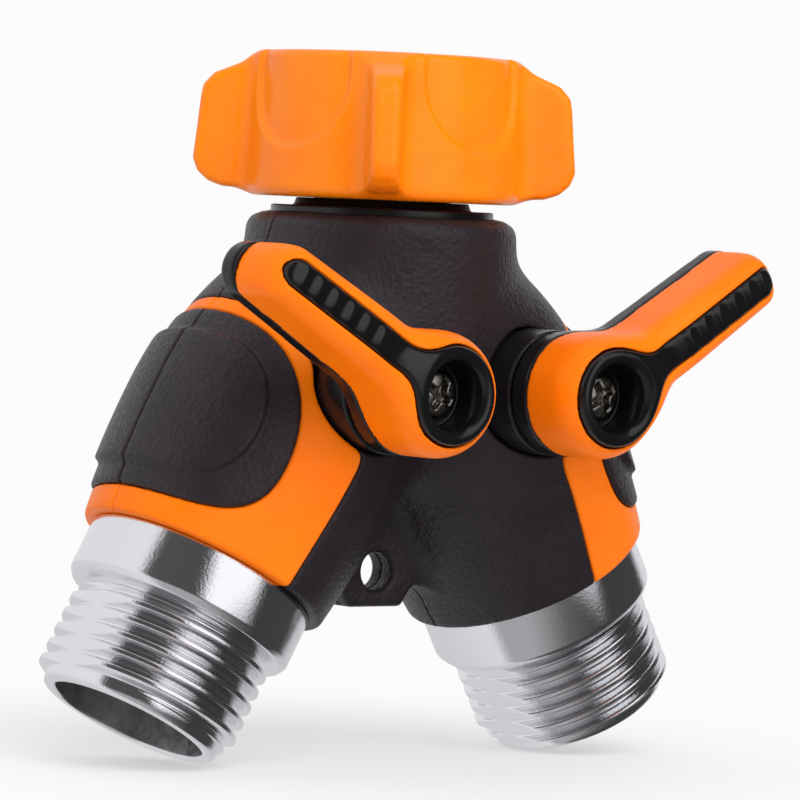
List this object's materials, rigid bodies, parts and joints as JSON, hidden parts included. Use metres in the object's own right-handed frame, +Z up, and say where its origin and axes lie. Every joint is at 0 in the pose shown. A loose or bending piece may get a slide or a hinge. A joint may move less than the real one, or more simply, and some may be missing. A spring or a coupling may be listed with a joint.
{
  "type": "hose splitter",
  "caption": "Y-shaped garden hose splitter with a winged swivel inlet nut, a grip-clad body and a quarter-turn lever valve on each threaded outlet.",
  "frame": {"origin": "centre of the inlet nut's mouth, in the plane of its top face", "axes": "+Z up along the inlet axis, out of the nut; -Y towards the side with the levers; +X from the left outlet to the right outlet"},
  "size_m": [0.095, 0.0549, 0.0918],
  "materials": {
    "orange_plastic": "satin",
    "thread_plastic": "satin",
    "tailpiece_brass": "satin",
    "seal_rubber": "matt",
    "screen_steel": "fine mesh",
    "black_plastic": "semi-gloss",
    "chrome_zinc": "chromed die casting",
    "cast_zinc": "raw die casting",
    "cover_rubber": "fine leather grain",
    "screw_steel": "plated",
    "seat_plastic": "smooth",
    "ball_chrome": "polished",
    "insert_black": "gloss"
  },
  "bodies": {
    "body": {"inlet_tailpiece": "tailpiece_brass", "tailpiece_seal": "seal_rubber", "hose_washer": "seal_rubber", "inlet_screen": "screen_steel", "top_ring": "black_plastic", "valve_body": "cast_zinc", "front_cover": "cover_rubber", "rear_cover": "cover_rubber", "cover_screws": "screw_steel", "left_front_panel": "orange_plastic", "right_front_panel": "orange_plastic", "left_rear_panel": "orange_plastic", "right_rear_panel": "orange_plastic", "left_front_grip": "cover_rubber", "right_front_grip": "cover_rubber", "left_rear_grip": "cover_rubber", "right_rear_grip": "cover_rubber", "left_gland_ring": "black_plastic", "right_gland_ring": "black_plastic", "left_inlet_seat": "seat_plastic", "right_inlet_seat": "seat_plastic", "left_outlet_seat": "seat_plastic", "right_outlet_seat": "seat_plastic", "left_nozzle": "chrome_zinc", "right_nozzle": "chrome_zinc"},
    "inlet_nut": {"nut_shell": "orange_plastic", "nut_thread_insert": "thread_plastic"},
    "left_lever": {"left_lever_shell": "orange_plastic", "left_lever_plate": "black_plastic", "left_lever_insert": "insert_black", "left_lever_screw": "screw_steel", "left_stem": "tailpiece_brass", "left_stem_rings": "seal_rubber", "left_ball": "ball_chrome"},
    "right_lever": {"right_lever_shell": "orange_plastic", "right_lever_plate": "black_plastic", "right_lever_insert": "insert_black", "right_lever_screw": "screw_steel", "right_stem": "tailpiece_brass", "right_stem_rings": "seal_rubber", "right_ball": "ball_chrome"}
  },
  "joints": [
    {"name": "nut_spin", "type": "hinge", "parent": "body", "child": "inlet_nut", "pos_m": [0, 0, -0.0171], "axis": [0, 0, 1], "continuous": true},
    {"name": "left_lever_turn", "type": "hinge", "parent": "body", "child": "left_lever", "pos_m": [-0.01333, 0, -0.04285], "axis": [0, -1, 0], "range_deg": [0, 91]},
    {"name": "right_lever_turn", "type": "hinge", "parent": "body", "child": "right_lever", "pos_m": [0.01333, 0, -0.04285], "axis": [0, 1, 0], "range_deg": [0, 93.5]}
  ]
}
